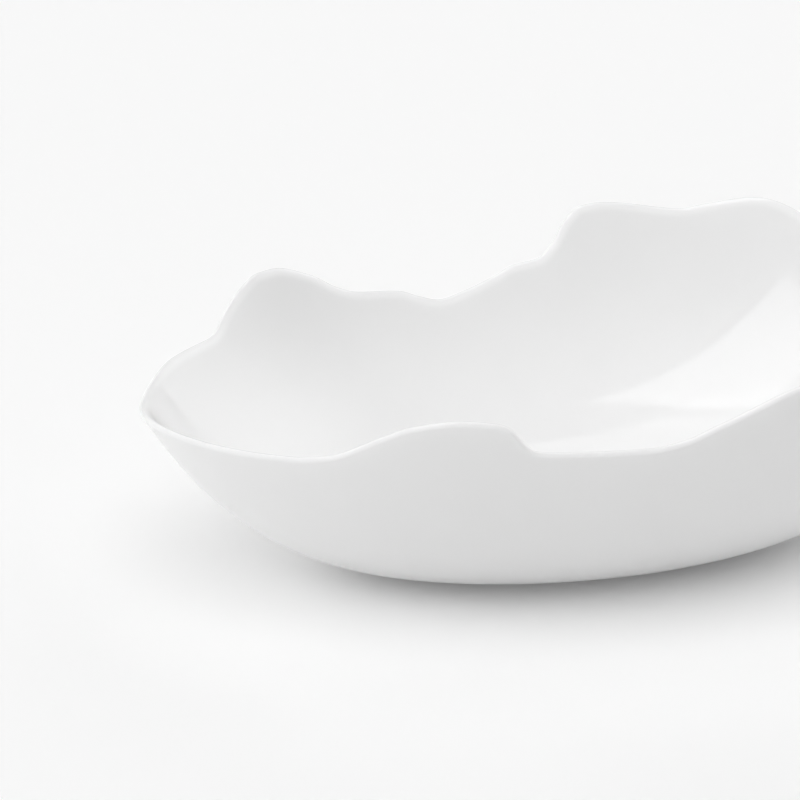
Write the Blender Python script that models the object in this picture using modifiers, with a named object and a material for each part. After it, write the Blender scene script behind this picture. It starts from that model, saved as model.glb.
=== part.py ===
"""Oval deep plate in white porcelain: a free-form wavy rim on a smooth oval wall, with an oval foot ring.

Metres, +Z up. X runs along the plate and Y across it. The foot ring stands on Z = 0, and the origin
is under the middle of the rim's outline.
"""
import math

import bpy
import numpy as np

MM = 0.001

# Wall, measured on its outside, in millimetres
BASE_LENGTH = 156.0
BASE_WIDTH = 74.0
FLARE_LENGTH = 345.0
FLARE_WIDTH = 228.0
FLARE_LEVEL = 100.0

# Sweep of the wall from the base oval to the flare oval, as shares of its run and of its rise
LEVEL_RUN_SHARE = 0.30
UPPER_RUN_SHARE = 0.15
UPPER_RISE_SHARE = 0.68

# Clay thickness, in millimetres: the wall thins from the bottom to the lip, which is rounded over
WALL_AT_BASE = 5.0
WALL_AT_LIP = 3.0
LIP_ROUND_SHARE = 0.46

# Foot ring, in millimetres: it is set in from the edge of the base, meets it across a thin seam, and
# narrows from its root to its standing face
FOOT_INSET = 3.0
FOOT_ROOT = 7.0
FOOT_FACE = 4.0
FOOT_HEIGHT = 2.5
FOOT_ROUND = 0.8
SEAM = 0.3

# Left-hand tip, drawn out to a point at the lip: angle in degrees on the oval and the reach to either
# side of it, pull and rim level in millimetres, and how fast the pull fades down the wall
TIP_ANGLE = 178.0
TIP_REACH = 8.0
TIP_PULL = 1.6
TIP_LEVEL = 62.5
TIP_FADE = 12

# Rim, going round anticlockwise from the right-hand end: angle in degrees on the oval, height in
# millimetres above the flat underside
RIM = (
    (0, 64.0),      # right-hand tip
    (14, 65.5),
    (27, 71.0),
    (35, 83.0),
    (42, 99.0),
    (50, 105.0),    # back crest, right half
    (58, 101.3),
    (62, 99.0),     # dip in the back crest
    (73, 101.5),    # back crest, left half
    (76.4, 100.0),
    (78.5, 94.5),
    (80.6, 84.0),
    (82.6, 79.0),
    (86.4, 76.8),   # shoulder under the back crest
    (89, 73.2),
    (94, 68.0),
    (98, 65.5),     # back valley
    (101, 67.5),
    (104, 70.5),
    (111, 72.5),    # shoulder
    (114, 75.5),
    (118, 82.0),
    (124, 87.0),    # left back crest
    (127.2, 86.5),
    (130.4, 83.0),
    (136.2, 74.0),
    (138.4, 69.9),
    (141, 67.7),    # notch
    (153, 66.5),
    (164, 64.0),
    (178, 62.5),    # left-hand tip
    (197, 65.0),
    (222, 67.5),
    (228, 70.0),    # left front valley
    (236, 79.5),
    (240, 84.0),
    (246, 86.5),    # front crest
    (250, 85.5),
    (251.5, 83.5),
    (253, 78.0),
    (254.5, 74.5),
    (257, 74.0),
    (268, 73.5),    # front valley
    (272, 75.5),
    (276, 80.5),
    (288, 92.0),    # right front crest
    (299, 86.0),
    (311, 73.0),
    (330, 67.0),
)

# Mesh density
RIM_SAMPLES = 7200
HALVINGS = 40
STATIONS = 176
WALL_RINGS = 10
FLOOR_RINGS = (0.45, 0.8)
LIP_SEGMENTS = 3
FOOT_STATIONS = 80
FOOT_SEGMENTS = 3
SHARP_ANGLE = 50.0


def rim_height(angle):
    """Height of the rim at an angle in degrees: a closed curve through RIM that never overshoots a crest."""
    knots = np.array(RIM)
    at = np.concatenate([knots[-1:, 0] - 360.0, knots[:, 0], knots[:2, 0] + 360.0])
    level = np.concatenate([knots[-1:, 1], knots[:, 1], knots[:2, 1]])
    step = np.diff(at)
    rise = np.diff(level) / step
    slope = np.zeros(len(at))
    for k in range(1, len(at) - 1):
        if rise[k - 1] * rise[k] > 0:
            slope[k] = 2.0 / (1.0 / rise[k - 1] + 1.0 / rise[k])
    angle = angle % 360.0
    k = np.clip(np.searchsorted(at, angle, side="right") - 1, 1, len(at) - 3)
    u = (angle - at[k]) / step[k]
    start = level[k] * (1 + 2 * u) * (1 - u) ** 2 + slope[k] * step[k] * u * (1 - u) ** 2
    end = level[k + 1] * u * u * (3 - 2 * u) - slope[k + 1] * step[k] * u * u * (1 - u)
    return start + end


def sweep(t):
    """Run and rise of the wall, as shares, at the parameter t of its Bezier section."""
    run = 3 * t * (1 - t) ** 2 * LEVEL_RUN_SHARE + 3 * t * t * (1 - t) * (1 - UPPER_RUN_SHARE) + t ** 3
    rise = 3 * t * t * (1 - t) * (1 - UPPER_RISE_SHARE) + t ** 3
    return run, rise


def sweep_at_height(height):
    """Parameter of the wall's section at a height above the underside, found by halving."""
    low = np.zeros_like(height)
    high = np.full_like(height, 2.0)
    for _ in range(HALVINGS):
        middle = (low + high) / 2
        below = sweep(middle)[1] * FLARE_LEVEL < height
        low = np.where(below, middle, low)
        high = np.where(below, high, middle)
    return low


def wall_point(angle, t):
    """Points on the outside of the wall, in millimetres above the underside."""
    run, rise = sweep(t)
    half_length = (BASE_LENGTH + (FLARE_LENGTH - BASE_LENGTH) * run) / 2
    half_width = (BASE_WIDTH + (FLARE_WIDTH - BASE_WIDTH) * run) / 2
    level = FLARE_LEVEL * rise
    near_tip = np.exp(-((angle - TIP_ANGLE) / TIP_REACH) ** 2)
    tip = TIP_PULL * near_tip * (level / TIP_LEVEL) ** TIP_FADE
    turn = np.radians(angle)
    return np.stack([half_length * np.cos(turn) - tip, half_width * np.sin(turn), level], axis=-1)


def rim_line():
    """Fine run of angles once round the plate, and the points of the rim's outer edge at those angles."""
    angle = np.linspace(0.0, 360.0, RIM_SAMPLES + 1)
    return angle, wall_point(angle, sweep_at_height(rim_height(angle)))


def rim_stations(count):
    """Angles that part the rim line into equal lengths, so that its steep flanks come out smooth too."""
    angle, line = rim_line()
    steps = np.linalg.norm(np.diff(line, axis=0), axis=1)
    along = np.concatenate([[0.0], np.cumsum(steps)])
    return np.interp(np.linspace(0.0, along[-1], count, endpoint=False), along, angle)


def rim_middle():
    """Middle of the rim's outline seen from above, in millimetres."""
    line = rim_line()[1]
    return (line.min(axis=0) + line.max(axis=0)) / 2


def loft(name, rings, closed):
    """Skin of quads through rings of equally many points, joined end to end when closed."""
    count = len(rings[0])
    faces = []
    pairs = list(zip(range(len(rings) - 1), range(1, len(rings))))
    if closed:
        pairs.append((len(rings) - 1, 0))
    for lower, upper in pairs:
        for k in range(count):
            after = (k + 1) % count
            faces.append((lower * count + k, lower * count + after, upper * count + after, upper * count + k))
    if not closed:
        faces.append(tuple(reversed(range(count))))
    mesh = bpy.data.meshes.new(name)
    mesh.from_pydata([tuple(p) for p in np.concatenate(rings) * MM], [], faces)
    mesh.update()
    return mesh


def material(name, colour, roughness):
    """Plain Principled material of one piece."""
    made = bpy.data.materials.new(name)
    made.use_nodes = True
    shader = made.node_tree.nodes["Principled BSDF"]
    shader.inputs["Base Color"].default_value = (*colour, 1.0)
    shader.inputs["Roughness"].default_value = roughness
    shader.inputs["Metallic"].default_value = 0.0
    return made


def add_piece(name, mesh, finish, collection):
    """Named object of one piece, shaded smooth and set under the middle of the rim."""
    mesh.materials.append(finish)
    mesh.shade_smooth()
    piece = bpy.data.objects.new(name, mesh)
    collection.objects.link(piece)
    middle = rim_middle()
    piece.location = (-middle[0] * MM, -middle[1] * MM, 0.0)
    return piece


def add_bevel(piece, limit, width, segments):
    """Rounded edges, either where faces meet at a sharp angle or where the edges are marked."""
    bevel = piece.modifiers.new("rounded edges", "BEVEL")
    bevel.limit_method = limit
    bevel.angle_limit = math.radians(SHARP_ANGLE)
    bevel.width = width * MM
    bevel.segments = segments


def make_plate_body(collection):
    """Shell of the plate: its outside is lofted from the bottom to the rim, then thickened inwards."""
    angle = rim_stations(STATIONS)
    top = sweep_at_height(rim_height(angle))
    base = wall_point(angle, np.zeros(STATIONS))
    rings = [base * share for share in FLOOR_RINGS]
    rings += [wall_point(angle, top * k / WALL_RINGS) for k in range(WALL_RINGS + 1)]
    underside = np.array([0.0, 0.0, FOOT_HEIGHT + SEAM])
    mesh = loft("plate_body", [ring + underside for ring in rings], closed=False)
    glaze = material("white_glaze", (0.90, 0.90, 0.89), 0.12)
    body = add_piece("plate_body", mesh, glaze, collection)

    thickness = body.vertex_groups.new(name="clay thickness")
    for ring in range(len(rings)):
        up_the_wall = max(ring - len(FLOOR_RINGS), 0) / WALL_RINGS
        members = range(ring * STATIONS, (ring + 1) * STATIONS)
        thickness.add(list(members), 1.0 - up_the_wall, "REPLACE")
    shell = body.modifiers.new("clay", "SOLIDIFY")
    shell.thickness = WALL_AT_BASE * MM
    shell.offset = -1.0
    shell.use_even_offset = True
    shell.vertex_group = thickness.name
    shell.thickness_vertex_group = WALL_AT_LIP / WALL_AT_BASE
    add_bevel(body, "ANGLE", LIP_ROUND_SHARE * WALL_AT_LIP, LIP_SEGMENTS)


def make_foot_ring(collection):
    """Oval ring under the base, tapered to a flat standing face with both its edges rounded over."""
    turn = np.linspace(0.0, 2 * math.pi, FOOT_STATIONS, endpoint=False)

    def oval(inset, height):
        half_length = BASE_LENGTH / 2 - inset
        half_width = BASE_WIDTH / 2 - inset
        level = np.full(FOOT_STATIONS, height)
        return np.stack([half_length * np.cos(turn), half_width * np.sin(turn), level], axis=-1)

    taper = (FOOT_ROOT - FOOT_FACE) / 2
    outer_face = oval(FOOT_INSET + taper, 0.0)
    outer_root = oval(FOOT_INSET, FOOT_HEIGHT)
    inner_root = oval(FOOT_INSET + FOOT_ROOT, FOOT_HEIGHT)
    inner_face = oval(FOOT_INSET + FOOT_ROOT - taper, 0.0)
    mesh = loft("foot_ring", [outer_face, outer_root, inner_root, inner_face], closed=True)
    bare_clay = material("bare_clay", (0.84, 0.82, 0.78), 0.65)
    foot = add_piece("foot_ring", mesh, bare_clay, collection)

    marks = mesh.attributes.new("bevel_weight_edge", "FLOAT", "EDGE")
    for edge in mesh.edges:
        ring, other_ring = [corner // FOOT_STATIONS for corner in edge.vertices]
        standing = all(mesh.vertices[corner].co.z == 0.0 for corner in edge.vertices)
        marks.data[edge.index].value = float(standing and ring == other_ring)
    add_bevel(foot, "WEIGHT", FOOT_ROUND, FOOT_SEGMENTS)


for leftover in list(bpy.data.objects):
    bpy.data.objects.remove(leftover, do_unlink=True)
plate = bpy.data.collections.new("oval_deep_plate")
bpy.context.scene.collection.children.link(plate)
make_plate_body(plate)
make_foot_ring(plate)
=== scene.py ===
import math

import bpy
import numpy as np
from mathutils import Matrix, Vector


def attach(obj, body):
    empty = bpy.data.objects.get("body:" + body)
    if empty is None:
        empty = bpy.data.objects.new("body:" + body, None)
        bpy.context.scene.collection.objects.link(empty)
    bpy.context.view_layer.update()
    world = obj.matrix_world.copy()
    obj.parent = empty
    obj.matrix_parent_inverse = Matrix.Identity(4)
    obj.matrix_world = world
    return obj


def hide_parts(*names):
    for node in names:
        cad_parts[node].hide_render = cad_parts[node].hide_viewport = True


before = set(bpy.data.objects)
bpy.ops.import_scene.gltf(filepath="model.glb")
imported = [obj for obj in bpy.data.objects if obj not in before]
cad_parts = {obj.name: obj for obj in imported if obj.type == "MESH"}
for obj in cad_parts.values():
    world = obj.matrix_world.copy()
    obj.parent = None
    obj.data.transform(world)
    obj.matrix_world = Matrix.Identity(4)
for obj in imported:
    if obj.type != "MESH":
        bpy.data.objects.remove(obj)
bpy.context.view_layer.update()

# Plate body
# One skin of white porcelain, slip-cast in a plaster mould: a smooth oval wall that thins towards its lip.
# The lip is cut along a free-form wave while the clay is soft, and sponged round. The glaze is poured into
# the well, where it is glossy, and sprayed thinner on the outside, where its sheen is softer.
MM = 0.001
BASE_LENGTH, BASE_WIDTH = 156.0, 74.0
FLARE_LENGTH, FLARE_WIDTH, FLARE_LEVEL = 345.0, 228.0, 100.0
LEVEL_RUN_SHARE, UPPER_RUN_SHARE, UPPER_RISE_SHARE = 0.30, 0.15, 0.68
WALL_AT_BASE, WALL_AT_LIP = 5.0, 3.0
UNDERSIDE_LEVEL = 2.8
LIP_CROWN, LIP_OUTER_ROUND, LIP_INNER_ROUND = 1.35, 1.5, 4.0
TIP_ANGLE, TIP_REACH, TIP_PULL, TIP_LEVEL, TIP_FADE = 178.0, 8.0, 1.6, 62.5, 12
# Angle round the oval in degrees, and height of the lip there in millimetres
RIM = (
    (0, 64.0), (14, 65.5), (27, 71.0), (35, 83.0), (42, 99.0), (50, 105.0), (58, 101.3), (62, 99.0),
    (73, 101.5), (76.4, 100.0), (78.5, 94.5), (80.6, 84.0), (82.6, 79.0), (86.4, 76.8), (89, 73.2),
    (94, 68.0), (98, 65.5), (101, 67.5), (104, 70.5), (111, 72.5), (114, 75.5), (118, 82.0), (124, 87.0),
    (127.2, 86.5), (130.4, 83.0), (136.2, 74.0), (138.4, 69.9), (141, 67.7), (153, 66.5), (164, 64.0),
    (178, 62.5), (197, 65.0), (222, 67.5), (228, 70.0), (236, 79.5), (240, 84.0), (246, 86.5),
    (250, 85.5), (251.5, 83.5), (253, 78.0), (254.5, 74.5), (257, 74.0), (268, 73.5), (272, 75.5),
    (276, 80.5), (288, 92.0), (299, 86.0), (311, 73.0), (330, 67.0),
)
RIM_SAMPLES = 7200
SWEEP_END, HALVINGS = 2.0, 40
STATIONS = 640
WALL_RINGS, WALL_TOP_SHARE = 40, 0.945
FLOOR_RINGS = 10
LIP_STEPS = 24


def rim_height(angle):
    """Height of the lip above the flat underside: a closed curve through RIM that overshoots no crest."""
    knots = np.array(RIM)
    at = np.concatenate([knots[-1:, 0] - 360.0, knots[:, 0], knots[:2, 0] + 360.0])
    level = np.concatenate([knots[-1:, 1], knots[:, 1], knots[:2, 1]])
    step = np.diff(at)
    rise = np.diff(level) / step
    slope = np.zeros(len(at))
    for k in range(1, len(at) - 1):
        if rise[k - 1] * rise[k] > 0:
            slope[k] = 2.0 / (1.0 / rise[k - 1] + 1.0 / rise[k])
    angle = angle % 360.0
    k = np.clip(np.searchsorted(at, angle, side="right") - 1, 1, len(at) - 3)
    u = (angle - at[k]) / step[k]
    start = level[k] * (1 + 2 * u) * (1 - u) ** 2 + slope[k] * step[k] * u * (1 - u) ** 2
    end = level[k + 1] * u * u * (3 - 2 * u) - slope[k + 1] * step[k] * u * u * (1 - u)
    return start + end


def sweep(t):
    """Run and rise of the wall, as shares, at the parameter t of its Bezier section."""
    run = 3 * t * (1 - t) ** 2 * LEVEL_RUN_SHARE + 3 * t * t * (1 - t) * (1 - UPPER_RUN_SHARE) + t ** 3
    rise = 3 * t * t * (1 - t) * (1 - UPPER_RISE_SHARE) + t ** 3
    return run, rise


def sweep_at_height(height):
    """Parameter of the wall's section at a height above the underside, found by halving."""
    low = np.zeros_like(height)
    high = np.full_like(height, SWEEP_END)
    for _ in range(HALVINGS):
        middle = (low + high) / 2
        below = sweep(middle)[1] * FLARE_LEVEL < height
        low = np.where(below, middle, low)
        high = np.where(below, high, middle)
    return low


def bell(value, middle, reach):
    """Share that is full at a middle value and dies away on both sides of it."""
    return np.exp(-((value - middle) / reach) ** 2)


def outside(angle, t):
    """Points on the outside of the wall, in millimetres above the underside."""
    run, rise = sweep(t)
    half_length = (BASE_LENGTH + (FLARE_LENGTH - BASE_LENGTH) * run) / 2
    half_width = (BASE_WIDTH + (FLARE_WIDTH - BASE_WIDTH) * run) / 2
    level = FLARE_LEVEL * rise
    tip = TIP_PULL * bell(angle, TIP_ANGLE, TIP_REACH) * (level / TIP_LEVEL) ** TIP_FADE
    turn = np.radians(angle)
    return np.stack([half_length * np.cos(turn) - tip, half_width * np.sin(turn), level], axis=-1)


def unit(vectors):
    """The same directions, each of length 1."""
    return vectors / np.linalg.norm(vectors, axis=-1, keepdims=True)


def outward(angle, t):
    """Direction square to the wall, pointing out of the clay."""
    small = 1e-4
    round_it = outside(angle + small, t) - outside(angle - small, t)
    up_it = outside(angle, t + small) - outside(angle, np.maximum(t - small, 0.0))
    return unit(np.cross(round_it, up_it))


def loft(name, rings, poles):
    """Closed skin through rings of equally many points, with a pole at each end or joined end to end."""
    count = len(rings[0])
    points = np.concatenate(rings)
    pairs = list(zip(range(len(rings) - 1), range(1, len(rings))))
    if not len(poles):
        pairs.append((len(rings) - 1, 0))
    faces = []
    for lower_ring, upper_ring in pairs:
        lower = lower_ring * count
        upper = upper_ring * count
        for k in range(count):
            after = (k + 1) % count
            faces.append((lower + k, lower + after, upper + after, upper + k))
    if len(poles):
        last = (len(rings) - 1) * count
        for k in range(count):
            after = (k + 1) % count
            faces.append((after, k, len(points)))
            faces.append((last + k, last + after, len(points) + 1))
        points = np.concatenate([points, poles])
    mesh = bpy.data.meshes.new(name)
    mesh.from_pydata((points * MM).tolist(), [], faces)
    mesh.update()
    mesh.shade_smooth()
    piece = bpy.data.objects.new(name, mesh)
    bpy.context.scene.collection.objects.link(piece)
    return piece


class Sock:
    """A shader socket that does sums: an expression on values adds its Math nodes to the material."""

    def __init__(self, tree, socket=None):
        self.tree = tree
        self.socket = socket

    def node(self, kind, settings, sockets, output=0):
        """Output of a new node of a kind, with its settings, and with values or links on its sockets."""
        made = self.tree.nodes.new("ShaderNode" + kind)
        for name, value in settings.items():
            setattr(made, name, value)
        for key, value in sockets.items():
            if isinstance(value, Sock):
                self.tree.links.new(value.socket, made.inputs[key])
            else:
                made.inputs[key].default_value = value
        return Sock(self.tree, made.outputs[output])

    def maths(self, operation, first, second):
        return self.node("Math", {"operation": operation}, {0: first, 1: second})

    def __add__(self, other):
        return self.maths("ADD", self, other)

    def __radd__(self, other):
        return self.maths("ADD", other, self)

    def __sub__(self, other):
        return self.maths("SUBTRACT", self, other)

    def __rsub__(self, other):
        return self.maths("SUBTRACT", other, self)

    def __mul__(self, other):
        return self.maths("MULTIPLY", self, other)

    def __rmul__(self, other):
        return self.maths("MULTIPLY", other, self)

    def into(self, shader, name):
        self.tree.links.new(self.socket, shader.inputs[name])


def finish(name):
    """New material, its Principled shader, and a socket that its sums start from."""
    made = bpy.data.materials.new(name)
    made.use_nodes = True
    return made, made.node_tree.nodes["Principled BSDF"], Sock(made.node_tree)


def cloud(place, scale, detail):
    """Soft cloudy value over a surface, from 0 to 1."""
    return place.node("TexNoise", {}, {"Vector": place, "Scale": scale, "Detail": detail})


def between(share, colour, other_colour):
    """Colour between two colours of a finish, by a share."""
    start = colour if isinstance(colour, Sock) else (*colour, 1.0)
    end = (*other_colour, 1.0)
    return share.node("Mix", {"data_type": "RGBA"}, {0: share, 6: start, 7: end}, output=2)


def relief(height, strength, depth):
    """Surface direction of a finish with fine relief, up to a depth in metres."""
    return height.node("Bump", {}, {"Strength": strength, "Distance": depth, "Height": height})


fine = np.linspace(0.0, 360.0, RIM_SAMPLES + 1)
fine_rim = outside(fine, sweep_at_height(rim_height(fine)))
along = np.concatenate([[0.0], np.cumsum(np.linalg.norm(np.diff(fine_rim, axis=0), axis=1))])
stations = np.interp(np.linspace(0.0, along[-1], STATIONS, endpoint=False), along, fine)
rim_middle = (fine_rim.min(axis=0) + fine_rim.max(axis=0)) / 2
standing = np.array([-rim_middle[0], -rim_middle[1], UNDERSIDE_LEVEL])

top = sweep_at_height(rim_height(stations))
rim = outside(stations, top)
rim_out = outward(stations, top)
rim_along = unit(np.roll(rim, -1, axis=0) - np.roll(rim, 1, axis=0))
rim_up = np.cross(rim_out, rim_along)
rim_up *= np.sign(rim_up[:, 2:])
lip = []
below_crown = []
for turn in np.linspace(0.0, math.pi, LIP_STEPS + 1):
    outer = turn < math.pi / 2
    across = LIP_CROWN if outer else WALL_AT_LIP - LIP_CROWN
    depth = LIP_OUTER_ROUND if outer else LIP_INNER_ROUND
    core = rim - LIP_CROWN * rim_out - depth * rim_up
    lip.append(core + across * math.cos(turn) * rim_out + depth * math.sin(turn) * rim_up)
    below_crown.append(depth * (1 - math.sin(turn)) * (-1 if outer else 1))

wall_shares = np.linspace(0.0, WALL_TOP_SHARE, WALL_RINGS)
outer_wall = [outside(stations, top * share) for share in wall_shares]
inner_wall = []
for ring, share in zip(outer_wall, wall_shares):
    thickness = WALL_AT_BASE + (WALL_AT_LIP - WALL_AT_BASE) * share
    square = outward(stations, top * share) if share else np.array([0.0, 0.0, -1.0])
    inner_wall.append(ring - thickness * square)
base = outside(stations, np.zeros(STATIONS))
bottom = [base * share for share in np.linspace(0.0, 1.0, FLOOR_RINGS + 1)[1:-1]]
clay_up = np.array([0.0, 0.0, WALL_AT_BASE])
well_floor = [ring + clay_up for ring in reversed(bottom)]
skin = [*bottom, *outer_wall, *lip, *reversed(inner_wall), *well_floor]
middles = np.array([standing, standing + clay_up])
plate = loft("glazed_plate_body", [ring + standing for ring in skin], middles)

# Shares of the marks in the glaze, ring by ring: paler over the lip, partly thin glaze and partly painted
# highlight;
# painted light, paler, over the inside of the tip; painted shade, darker grey, on the outer crown of the
# tip;
# and satin on the outside up to the crown and a little inside the tip
THIN_AND_LIT_BELOW_CROWN, THIN_AND_LIT_REACH = 1.6, 1.6
TIP_LIGHT_ANGLE, TIP_LIGHT_SPREAD, TIP_LIGHT_DEPTH = 170.0, 9.0, 24.0
SHADE_BELOW_CROWN, SHADE_REACH, SHADE_ANGLE, SHADE_SPREAD = -0.2, 1.2, 177.0, 8.0
SATIN_ANGLE, SATIN_SPREAD, SATIN_DEPTH, TIP_SATIN = 182.0, 8.0, 14.0, 0.65
# Painted light: a paler patch over the inside of the tip, from its lip down
tip_painted_light = bell(stations, TIP_LIGHT_ANGLE, TIP_LIGHT_SPREAD)
# Painted shade: a darker grey on the outer crown of the lip at the tip
tip_shade = bell(stations, SHADE_ANGLE, SHADE_SPREAD)
tip_satin = TIP_SATIN * bell(stations, SATIN_ANGLE, SATIN_SPREAD)
# Paler lip: partly thin glaze, partly a painted highlight; with the painted light inside the tip
thin_and_lit_rings = [np.maximum(bell(below, THIN_AND_LIT_BELOW_CROWN, THIN_AND_LIT_REACH), tip_painted_light) for below in below_crown]
for ring in reversed(inner_wall):
    thin_and_lit_rings.append(tip_painted_light * bell(rim[:, 2] - ring[:, 2], 0.0, TIP_LIGHT_DEPTH))
painted_shade_rings = [bell(below, SHADE_BELOW_CROWN, SHADE_REACH) * tip_shade for below in below_crown]
lip_start = len(bottom) + len(outer_wall)
past_crown = LIP_STEPS // 2 + 1
satin_rings = [np.ones(STATIONS)] * (lip_start + past_crown)
for ring in [*lip[past_crown:], *reversed(inner_wall)]:
    satin_rings.append(tip_satin * bell(rim[:, 2] - ring[:, 2], 0.0, SATIN_DEPTH))
marks = (("thin glaze and painted light", lip_start, thin_and_lit_rings), ("tip shade", lip_start, painted_shade_rings), ("satin", 0, satin_rings))
for mark, first_ring, rings in marks:
    shares = np.zeros(len(plate.data.vertices))
    first = first_ring * STATIONS
    marked = np.concatenate(rings)
    shares[first:first + len(marked)] = marked
    plate.data.attributes.new(mark, "FLOAT", "POINT").data.foreach_set("value", shares)

GLAZE_WHITE, GLAZE_CLOUD = (0.890, 0.890, 0.890), (0.874, 0.874, 0.874)
# Paler white of the lip and the tip: partly porcelain under thin glaze, partly painted light
PALE_AND_PAINTED_LIGHT_WHITE = (0.975, 0.975, 0.975)
# Darker grey on the outer crown of the tip: painted shade
PAINTED_SHADE_GREY, PAINTED_SHADE_SHARE = (0.70, 0.70, 0.70), 0.6
CLOUDS_PER_M, CLOUD_DETAIL = 38.0, 2.0
SHEENS_PER_M, SHEEN_DETAIL = 90.0, 3.0
GLOSS_ROUGHNESS, SHEEN_ROUGHNESS, SATIN_ROUGHNESS = 0.05, 0.05, 0.24
RIPPLES_PER_M, RIPPLE_DETAIL, RIPPLE_STRENGTH, RIPPLE_DEPTH = 55.0, 1.0, 0.2, 0.05
SCATTER_DEPTH = 3.0
glaze, glaze_shader, in_glaze = finish("white_glaze")
place = in_glaze.node("TexCoord", {}, {}, output="Object")
thin_glaze_and_painted_light = in_glaze.node("Attribute", {"attribute_name": "thin glaze and painted light"}, {}, output="Fac")
painted_shade = in_glaze.node("Attribute", {"attribute_name": "tip shade"}, {}, output="Fac")
satin = in_glaze.node("Attribute", {"attribute_name": "satin"}, {}, output="Fac")
coat = between(cloud(place, CLOUDS_PER_M, CLOUD_DETAIL), GLAZE_WHITE, GLAZE_CLOUD)
# Paler over the lip (partly painted highlight) and over the inside of the tip (painted light)
coat = between(thin_glaze_and_painted_light, coat, PALE_AND_PAINTED_LIGHT_WHITE)
# Darker grey on the outer crown of the tip: painted shade
between(painted_shade * PAINTED_SHADE_SHARE, coat, PAINTED_SHADE_GREY).into(glaze_shader, "Base Color")
sheen = cloud(place, SHEENS_PER_M, SHEEN_DETAIL)
(GLOSS_ROUGHNESS + sheen * SHEEN_ROUGHNESS + satin * SATIN_ROUGHNESS).into(glaze_shader, "Roughness")
ripple = cloud(place, RIPPLES_PER_M, RIPPLE_DETAIL)
relief(ripple, RIPPLE_STRENGTH, RIPPLE_DEPTH * MM).into(glaze_shader, "Normal")
glaze_shader.inputs["Subsurface Weight"].default_value = 1.0
glaze_shader.inputs["Subsurface Radius"].default_value = (1.0, 1.0, 1.0)
glaze_shader.inputs["Subsurface Scale"].default_value = SCATTER_DEPTH * MM
plate.data.materials.append(glaze)
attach(plate, "root")
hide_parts("plate_body")

# Foot ring
# An oval ring of the same porcelain, luted to the underside before firing. Its standing face is wiped
# clear of glaze and ground smooth, and stays bare and matt below an uneven glaze line.
FOOT_INSET, FOOT_ROOT, FOOT_FACE, FOOT_HEIGHT, FOOT_ROUND = 3.0, 7.0, 4.0, 2.5, 0.8
ROOT_FILLET, ROOT_END = 0.9, 1.125
FOOT_STATIONS = 400
ROUND_STEPS, FILLET_STEPS = 6, 9


def foot_oval(inset, level):
    """Oval under the bottom, at an inset from its edge and a level above the table."""
    turn = np.linspace(0.0, 2 * math.pi, FOOT_STATIONS, endpoint=False)
    x = (BASE_LENGTH / 2 - inset) * np.cos(turn) - rim_middle[0]
    y = (BASE_WIDTH / 2 - inset) * np.sin(turn) - rim_middle[1]
    return np.stack([x, y, np.full(FOOT_STATIONS, level)], axis=-1)


taper = (FOOT_ROOT - FOOT_FACE) / 2
lean = math.atan2(taper, FOOT_HEIGHT)
edge_run = FOOT_ROUND * math.tan((math.pi / 2 - lean) / 2)
flank = []
for turn in np.linspace(0.0, math.pi / 2 - lean, ROUND_STEPS + 1):
    flank.append((taper + edge_run - FOOT_ROUND * math.sin(turn), FOOT_ROUND * (1 - math.cos(turn))))
for share in np.linspace(0.0, ROOT_END, FILLET_STEPS + 1):
    level = FOOT_HEIGHT - ROOT_FILLET + (ROOT_FILLET + UNDERSIDE_LEVEL - FOOT_HEIGHT) * share
    flank.append((taper * (1 - level / FOOT_HEIGHT) - ROOT_FILLET * share ** 3, level))
outer_flank = [foot_oval(FOOT_INSET + inward, level) for inward, level in flank]
inner_flank = [foot_oval(FOOT_INSET + FOOT_ROOT - inward, level) for inward, level in reversed(flank)]
foot = loft("ground_foot_ring", [*outer_flank, *inner_flank], [])

CLAY_PALE, CLAY_WARM = (0.86, 0.845, 0.815), (0.79, 0.77, 0.73)
CLAY_ROUGHNESS, GRAIN_ROUGHNESS, FOOT_GLAZE_ROUGHNESS = 0.55, 0.25, 0.08
GRAINS_PER_M, GRAIN_DETAIL, GRAIN_STRENGTH, GRAIN_DEPTH = 1400.0, 3.0, 0.4, 0.1
GLAZE_LINE, LINE_WANDER, LINE_SHARPNESS = 1.5, 0.9, 6.0
WANDERS_PER_M, WANDER_DETAIL = 160.0, 2.0
bare_clay, clay_shader, in_clay = finish("bare_clay")
clay_place = in_clay.node("TexCoord", {}, {}, output="Object")
grain = cloud(clay_place, GRAINS_PER_M, GRAIN_DETAIL)
between(grain, CLAY_PALE, CLAY_WARM).into(clay_shader, "Base Color")
(CLAY_ROUGHNESS + grain * GRAIN_ROUGHNESS).into(clay_shader, "Roughness")
relief(grain, GRAIN_STRENGTH, GRAIN_DEPTH * MM).into(clay_shader, "Normal")
foot_coat = {"Base Color": (*GLAZE_WHITE, 1.0), "Roughness": FOOT_GLAZE_ROUGHNESS}
over = in_clay.node("BsdfPrincipled", {}, foot_coat)
height = in_clay.node("SeparateXYZ", {}, {"Vector": clay_place}, output="Z") * (1 / MM)
wander = cloud(clay_place, WANDERS_PER_M, WANDER_DETAIL) * LINE_WANDER
above_line = height - wander - (GLAZE_LINE - LINE_WANDER / 2)
clamped = {"operation": "MULTIPLY", "use_clamp": True}
glazed = in_clay.node("Math", clamped, {0: above_line, 1: LINE_SHARPNESS})
bare = Sock(in_clay.tree, clay_shader.outputs[0])
foot_skin = in_clay.node("MixShader", {}, {0: glazed, 1: bare, 2: over})
foot_skin.into(in_clay.tree.nodes["Material Output"], "Surface")
foot.data.materials.append(bare_clay)
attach(foot, "root")
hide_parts("foot_ring")

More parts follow.
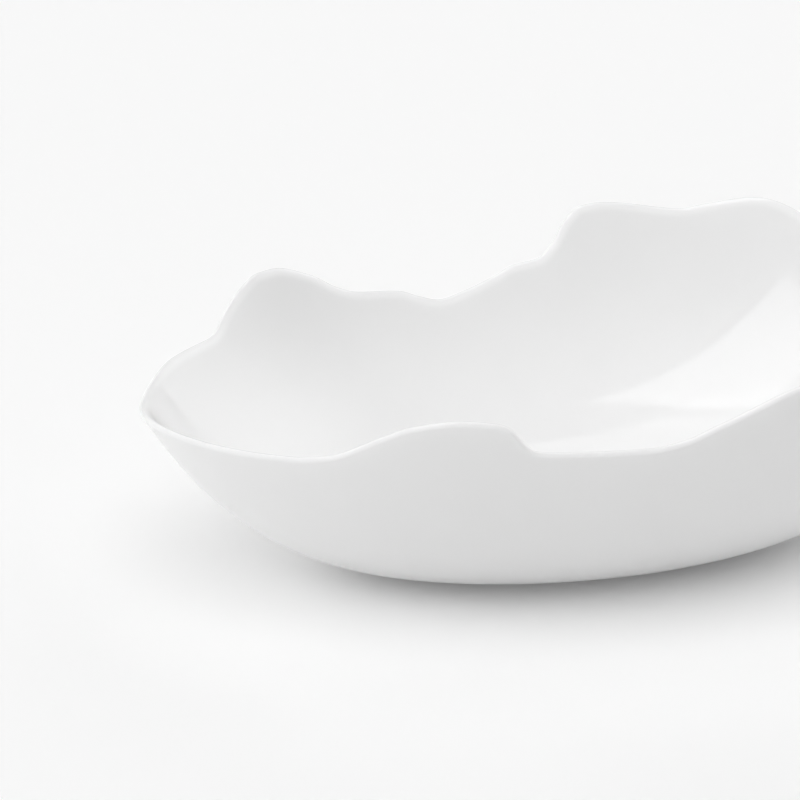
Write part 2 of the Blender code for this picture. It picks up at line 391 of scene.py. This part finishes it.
# Floor
# A wide sweep of matt white paper that the plate stands on. To the camera, and in the glaze, it is a little
# lighter than its own shading, as paper is that glows with the light that it scatters.
FLOOR_HALF = 6.0
PAPER_WHITE = (0.93, 0.93, 0.93)
PAPER_GLOW, GLOSS_GLOW = 0.12, 0.18
corners = ((-1, -1), (1, -1), (1, 1), (-1, 1))
floor_mesh = bpy.data.meshes.new("paper_floor")
floor_mesh.from_pydata([(x * FLOOR_HALF, y * FLOOR_HALF, 0.0) for x, y in corners], [], [(0, 1, 2, 3)])
floor = bpy.data.objects.new("paper_floor", floor_mesh)
bpy.context.scene.collection.objects.link(floor)
paper, paper_shader, in_paper = finish("white_paper")
paper_shader.inputs["Base Color"].default_value = (*PAPER_WHITE, 1.0)
paper_shader.inputs["Roughness"].default_value = 1.0
paper_shader.inputs["Specular IOR Level"].default_value = 0.0
paper_shader.inputs["Emission Color"].default_value = (1.0, 1.0, 1.0, 1.0)
to_camera = in_paper.node("LightPath", {}, {}, output="Is Camera Ray")
to_glaze = in_paper.node("LightPath", {}, {}, output="Is Glossy Ray")
(to_camera * PAPER_GLOW + to_glaze * GLOSS_GLOW).into(paper_shader, "Emission Strength")
floor_mesh.materials.append(paper)

# Studio light
# Soft banks of light stand all round the plate, and are strongest on its left. Two softboxes hang above it,
# and a tall screen with soft edges stands on its right: these three show only as reflections in the glaze.
CAMERA_TURN = math.radians(-14.06)
to_front = Vector((math.sin(CAMERA_TURN), -math.cos(CAMERA_TURN), 0.0))
to_right = Vector((math.cos(CAMERA_TURN), math.sin(CAMERA_TURN), 0.0))
upright = Vector((0.0, 0.0, 1.0))
# Name, angles above the table, round from the camera and of spread in degrees, and strength
BANKS = (
    ("back bank", 10, 180, 50, 0.533),
    ("back left bank", 10, 225, 50, 0.922),
    ("left bank", 10, 270, 50, 0.716),
    ("high back right bank", 35, 135, 50, 0.480),
    ("high front left bank", 35, 315, 50, 0.933),
    ("high front right bank", 35, 45, 50, 0.301),
    ("high right bank", 35, 90, 50, 0.282),
    ("high front bank", 62, 0, 50, 0.741),
    ("top bank", 90, 0, 60, 0.532),
)
for name, height_angle, side_angle, spread, strength in BANKS:
    lift = math.radians(height_angle)
    side = math.radians(side_angle)
    level_way = to_front * math.cos(side) + to_right * math.sin(side)
    towards = level_way * math.cos(lift) + upright * math.sin(lift)
    lamp = bpy.data.lights.new(name, "SUN")
    lamp.energy = strength
    lamp.angle = math.radians(spread)
    bank = bpy.data.objects.new(name, lamp)
    bpy.context.scene.collection.objects.link(bank)
    bank.rotation_euler = towards.to_track_quat("Z", "Y").to_euler()
    bank.visible_glossy = False

SOFTBOX_HEIGHT = 4.0


def studio(right, front, up):
    """Studio vector from its parts to the camera's right, to the camera and up, in softbox heights."""
    return (to_right * right + to_front * front + upright * up) * SOFTBOX_HEIGHT


def softbox(name, corner, width, length, brightness):
    """Softbox from one corner and two sides, turned to face the plate."""
    middle = corner + (width + length) / 2
    x = width.normalized()
    y = length.normalized()
    if x.cross(y).dot(middle) < 0:
        y = -y
    lamp = bpy.data.lights.new(name, "AREA")
    lamp.shape = "RECTANGLE"
    lamp.size = width.length
    lamp.size_y = length.length
    lamp.energy = brightness * math.pi * lamp.size * lamp.size_y
    box = bpy.data.objects.new(name, lamp)
    bpy.context.scene.collection.objects.link(box)
    box.matrix_world = Matrix.Translation(middle) @ Matrix((x, y, x.cross(y))).transposed().to_4x4()
    box.visible_diffuse = False
    return lamp


def over_face(lamp):
    """Shares of the width and of the length of a softbox, over its face."""
    lamp.use_nodes = True
    on_face = Sock(lamp.node_tree)
    face = on_face.node("NewGeometry", {}, {}, output="Parametric")
    return [on_face.node("SeparateXYZ", {}, {"Vector": face}, output=axis) for axis in ("X", "Y")]


def fade(share, dark, full):
    """Soft edge on the face of a softbox, from dark to full along a share of its side."""
    edge = {"Value": share, "From Min": dark, "From Max": full}
    return share.node("MapRange", {"interpolation_type": "SMOOTHSTEP"}, edge)


softbox(
    "front softbox",
    corner=studio(0.2, 0.36, 1.0),
    width=studio(-0.589, 0.307, -0.64),
    length=studio(-0.696, 0.018, 0.64),
    brightness=1.85,
)

strip = softbox(
    "top softbox",
    corner=studio(0.28, -0.31, 1.0),
    width=studio(-1.0, 0.0, 0.0),
    length=studio(0.0, 0.67, 0.0),
    brightness=1.6,
)
STRIP_GLOW, STRIP_GAIN, STRIP_LOSS = 0.78, 0.22, 0.5
GAIN_EDGE, LOSS_EDGE = (0.56, 0.62), (0.73, 0.77)
SLANT, SLANT_EDGE = 0.545, (-0.19, -0.13)
across, along_it = over_face(strip)
glow = STRIP_GLOW + fade(along_it, *GAIN_EDGE) * STRIP_GAIN - fade(along_it, *LOSS_EDGE) * STRIP_LOSS
glow = glow * fade(across - along_it * SLANT, *SLANT_EDGE)
glow.into(strip.node_tree.nodes["Emission"], "Color")

screen = softbox(
    "right screen",
    corner=studio(1.27, 0.566, 0.0),
    width=studio(-0.71, -1.951, 0.0),
    length=studio(0.0, 0.0, 1.73),
    brightness=1.66,
)
FRONT_EDGE, BACK_EDGE, TOP_EDGE = (0.03, 0.42), (0.95, 0.5), (1.0, 0.5)
across, up_it = over_face(screen)
glow = fade(across, *FRONT_EDGE) * fade(across, *BACK_EDGE) * fade(up_it, *TOP_EDGE)
glow.into(screen.node_tree.nodes["Emission"], "Color")

world = bpy.data.worlds.new("white_room")
bpy.context.scene.world = world
world.use_nodes = True
room = world.node_tree.nodes["Background"]
room.inputs["Color"].default_value = (1.0, 1.0, 1.0, 1.0)
Sock(world.node_tree).node("LightPath", {}, {}, output="Is Glossy Ray").into(room, "Strength")

# Camera
# It stands in front of the plate, a little to the left of its middle, and looks down on the rim.
# Its distance comes from the lens and from how many pixels of the picture a millimetre of the plate takes.
CAMERA_RISE = math.radians(19.26)
PIXELS_PER_MM = 2.709
PICTURE_WIDTH = 800
LENS, SENSOR = 100.0, 36.0
SIGHT_END = 50.0
AIM = (-64.58, 0.0, 60.0)
away = to_front * math.cos(CAMERA_RISE) + upright * math.sin(CAMERA_RISE)
eye = bpy.data.cameras.new("camera")
eye.lens = LENS
eye.sensor_width = SENSOR
eye.clip_end = SIGHT_END
camera = bpy.data.objects.new("camera", eye)
bpy.context.scene.collection.objects.link(camera)
distance = LENS / SENSOR * PICTURE_WIDTH / PIXELS_PER_MM
camera.location = (Vector(AIM) + Vector(standing.tolist()) + away * distance) * MM
camera.rotation_euler = away.to_track_quat("Z", "Y").to_euler()
bpy.context.scene.camera = camera
bpy.context.scene.view_settings.view_transform = "Standard"
